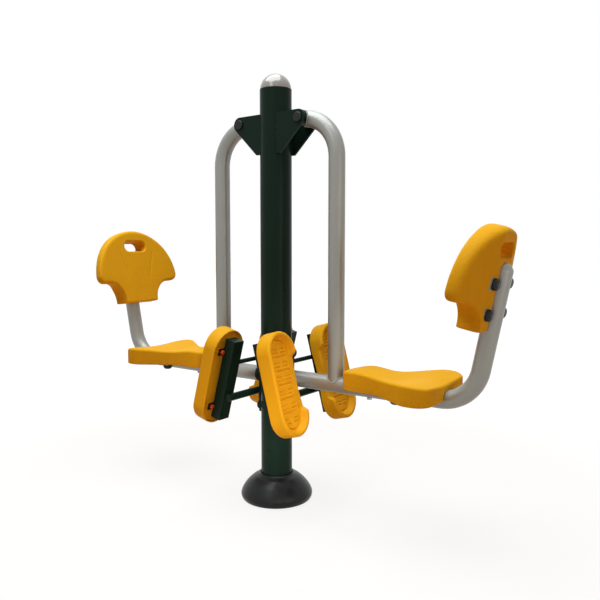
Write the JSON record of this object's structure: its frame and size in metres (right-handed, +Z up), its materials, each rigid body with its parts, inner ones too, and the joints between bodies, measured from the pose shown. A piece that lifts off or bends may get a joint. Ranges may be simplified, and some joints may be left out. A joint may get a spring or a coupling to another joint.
{
  "type": "outdoor double leg press",
  "caption": "Park leg press: a domed post carries swinging seats on bent arms, with fixed leaning foot trays that the users push against.",
  "frame": {"origin": "centre of the post on the ground", "axes": "+Z up along the post, +X to the right seat, -Y to the front"},
  "size_m": [1.7216, 0.456, 1.5395],
  "materials": {
    "cap_silver": "gloss light silver paint",
    "tube_grey": "satin light grey powder coat",
    "dark_green": "satin dark green powder coat",
    "galvanised": "galvanised",
    "steel": "zinc plated",
    "bearing_bronze": "plain bronze",
    "black_plastic": "semi gloss",
    "charcoal_plastic": "satin",
    "orange_plastic": "semi gloss",
    "yellow_plastic": "fine grained, rotationally moulded",
    "rubber": "matt"
  },
  "bodies": {
    "stand": {"base_flange": "galvanised", "post_tube": "dark_green", "base_boot": "black_plastic", "post_cap": "cap_silver", "axle_nuts": "steel", "axle_caps": "charcoal_plastic", "thrust_washers": "bearing_bronze", "saddle_washers": "steel", "saddle_bolts": "steel", "saddle_nuts": "steel", "saddle_bolt_caps": "charcoal_plastic", "bracket_end_plates": "dark_green", "tray_lugs": "dark_green", "tray_bolts": "steel", "tray_bolt_caps": "orange_plastic", "left_front_ear_plate": "dark_green", "left_rear_ear_plate": "dark_green", "left_axle_pin": "steel", "left_saddle_bar": "dark_green", "left_lower_rod": "dark_green", "left_upper_rod": "dark_green", "left_front_tray_bracket": "dark_green", "left_rear_tray_bracket": "dark_green", "left_front_foot_tray": "yellow_plastic", "left_rear_foot_tray": "yellow_plastic", "right_front_ear_plate": "dark_green", "right_rear_ear_plate": "dark_green", "right_axle_pin": "steel", "right_saddle_bar": "dark_green", "right_lower_rod": "dark_green", "right_upper_rod": "dark_green", "right_front_tray_bracket": "dark_green", "right_rear_tray_bracket": "dark_green", "right_front_foot_tray": "yellow_plastic", "right_rear_foot_tray": "yellow_plastic"},
    "left_seat_arm": {"left_hub_sleeve": "dark_green", "left_hub_bearings": "steel", "left_arm_tube": "tube_grey", "left_seat_tube": "tube_grey", "left_seat_bumper": "rubber", "left_upright_end_cap": "tube_grey", "left_seat_lugs": "tube_grey", "left_back_lugs": "tube_grey", "left_seat": "yellow_plastic", "left_backrest": "yellow_plastic", "left_lug_bolts": "steel", "left_lug_bolt_caps": "charcoal_plastic"},
    "right_seat_arm": {"right_hub_sleeve": "dark_green", "right_hub_bearings": "steel", "right_arm_tube": "tube_grey", "right_seat_tube": "tube_grey", "right_seat_bumper": "rubber", "right_upright_end_cap": "tube_grey", "right_seat_lugs": "tube_grey", "right_back_lugs": "tube_grey", "right_seat": "yellow_plastic", "right_backrest": "yellow_plastic", "right_lug_bolts": "steel", "right_lug_bolt_caps": "charcoal_plastic"}
  },
  "joints": [
    {"name": "left_swing", "type": "hinge", "parent": "stand", "child": "left_seat_arm", "pos_m": [-0.1309, 0, 1.3684], "axis": [0, 1, 0], "range_deg": [0, 35]},
    {"name": "right_swing", "type": "hinge", "parent": "stand", "child": "right_seat_arm", "pos_m": [0.1309, 0, 1.3684], "axis": [0, -1, 0], "range_deg": [0, 35]}
  ]
}
